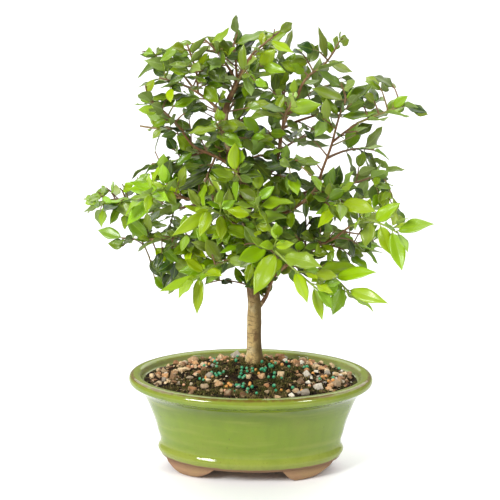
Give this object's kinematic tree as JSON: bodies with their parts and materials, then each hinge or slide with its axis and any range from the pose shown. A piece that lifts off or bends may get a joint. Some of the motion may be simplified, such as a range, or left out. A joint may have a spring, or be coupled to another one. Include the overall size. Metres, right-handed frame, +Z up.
{
  "type": "jaboticaba bonsai in an oval pot",
  "caption": "Small jaboticaba tree with a slim trunk and an open leafy crown, growing in gravel-topped soil in a glazed oval footed pot.",
  "frame": {"origin": "centre of the oval pot, on the surface that its feet stand on", "axes": "+X along the pot's long side, -Y towards the front of the pot, +Z up along the trunk"},
  "size_m": [0.2831, 0.1994, 0.3831],
  "materials": {
    "stoneware_pot": "gloss",
    "potting_soil": "matte",
    "bark": "matte",
    "drain_screen": "matte",
    "mature_leaf": "satin",
    "young_leaf": "satin"
  },
  "bodies": {
    "root": {"drain_screen_left": "drain_screen", "drain_screen_right": "drain_screen", "leafy_spray_back_a": "mature_leaf", "leafy_spray_back_b": "mature_leaf", "leafy_spray_back_c": "mature_leaf", "leafy_spray_back_d": "mature_leaf", "leafy_spray_back_e": "mature_leaf", "leafy_spray_back_f": "mature_leaf", "leafy_spray_back_g": "mature_leaf", "leafy_spray_back_h": "mature_leaf", "leafy_spray_crown_far": "mature_leaf", "leafy_spray_crown_left": "mature_leaf", "leafy_spray_crown_up": "mature_leaf", "leafy_spray_fore_a": "mature_leaf", "leafy_spray_fore_b": "mature_leaf", "leafy_spray_fore_c": "mature_leaf", "leafy_spray_fore_d": "mature_leaf", "leafy_spray_inner_1": "mature_leaf", "leafy_spray_inner_10": "mature_leaf", "leafy_spray_inner_11": "mature_leaf", "leafy_spray_inner_12": "mature_leaf", "leafy_spray_inner_2": "mature_leaf", "leafy_spray_inner_3": "mature_leaf", "leafy_spray_inner_4": "mature_leaf", "leafy_spray_inner_5": "mature_leaf", "leafy_spray_inner_6": "mature_leaf", "leafy_spray_inner_7": "mature_leaf", "leafy_spray_inner_8": "mature_leaf", "leafy_spray_inner_9": "mature_leaf", "leafy_spray_left": "mature_leaf", "leafy_spray_left_low": "mature_leaf", "leafy_spray_low_back": "mature_leaf", "leafy_spray_outer": "mature_leaf", "leafy_spray_outer_back": "mature_leaf", "leafy_spray_outer_right": "mature_leaf", "leafy_spray_right_a": "mature_leaf", "leafy_spray_right_b": "mature_leaf", "leafy_spray_right_c": "mature_leaf", "leafy_spray_right_top": "mature_leaf", "leafy_spray_side": "mature_leaf", "leafy_spray_top_back": "mature_leaf", "leafy_spray_top_front": "mature_leaf", "leafy_spray_top_left": "mature_leaf", "leafy_spray_top_mid": "mature_leaf", "leafy_spray_top_right": "mature_leaf", "leafy_spray_upper_far": "mature_leaf", "leafy_spray_upper_left": "mature_leaf", "leafy_spray_upper_low": "mature_leaf", "pot": "stoneware_pot", "soil": "potting_soil", "trunk": "bark", "young_shoot_down_left": "young_leaf", "young_shoot_front": "young_leaf", "young_shoot_front_left": "young_leaf", "young_shoot_front_low": "young_leaf", "young_shoot_left_front": "young_leaf", "young_shoot_low_down": "young_leaf", "young_shoot_low_right": "young_leaf", "young_shoot_side_front": "young_leaf"}
  },
  "joints": []
}
